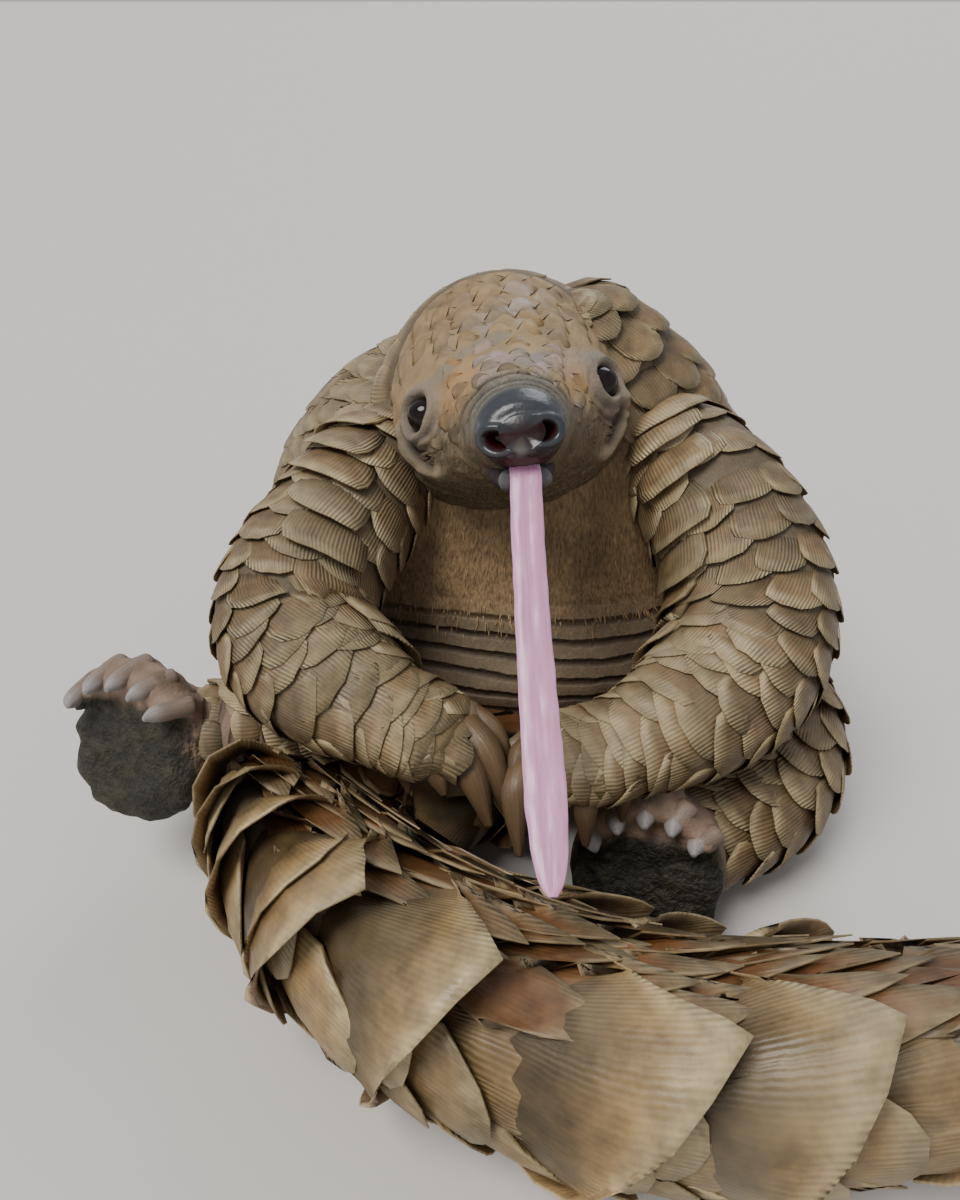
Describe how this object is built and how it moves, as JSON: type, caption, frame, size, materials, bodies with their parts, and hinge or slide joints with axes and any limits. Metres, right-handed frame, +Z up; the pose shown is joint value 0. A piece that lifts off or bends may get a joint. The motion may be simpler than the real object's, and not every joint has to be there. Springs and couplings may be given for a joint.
{
  "type": "pangolin",
  "caption": "Still life-size model of a young ground pangolin sitting on its rump, paws folded, tongue out, scaled tail curled round the front",
  "frame": {"origin": "middle of the flat under the rump, on the floor", "axes": "+Z up, the face looks along -Y, the animal's own left is +X"},
  "size_m": [0.3451, 0.3244, 0.1741],
  "materials": {
    "scale": "dry horn, dusty",
    "skin": "bare wrinkled skin",
    "claw": "worn horn",
    "eye": "wet and dark",
    "tongue": "wet"
  },
  "bodies": {
    "root": {"claw_left_1": "claw", "claw_left_2": "claw", "claw_left_3": "claw", "claw_left_4": "claw", "claw_left_5": "claw", "claw_right_1": "claw", "claw_right_2": "claw", "claw_right_3": "claw", "claw_right_4": "claw", "claw_right_5": "claw", "ear_left": "skin", "ear_right": "skin", "eye_left": "eye", "eye_right": "eye", "foot_left": "skin", "foot_right": "skin", "forearm_left": "scale", "forearm_right": "scale", "hand_left": "skin", "hand_right": "skin", "head": "skin", "nail_left_1": "claw", "nail_left_2": "claw", "nail_left_3": "claw", "nail_left_4": "claw", "nail_left_5": "claw", "nail_right_1": "claw", "nail_right_2": "claw", "nail_right_3": "claw", "nail_right_4": "claw", "nail_right_5": "claw", "neck": "scale", "shank_left": "scale", "shank_right": "scale", "tail_1": "scale", "tail_2": "scale", "tail_3": "scale", "tail_4": "scale", "thigh_left": "scale", "thigh_right": "scale", "tongue": "tongue", "torso": "scale", "upper_arm_left": "scale", "upper_arm_right": "scale"}
  },
  "joints": []
}
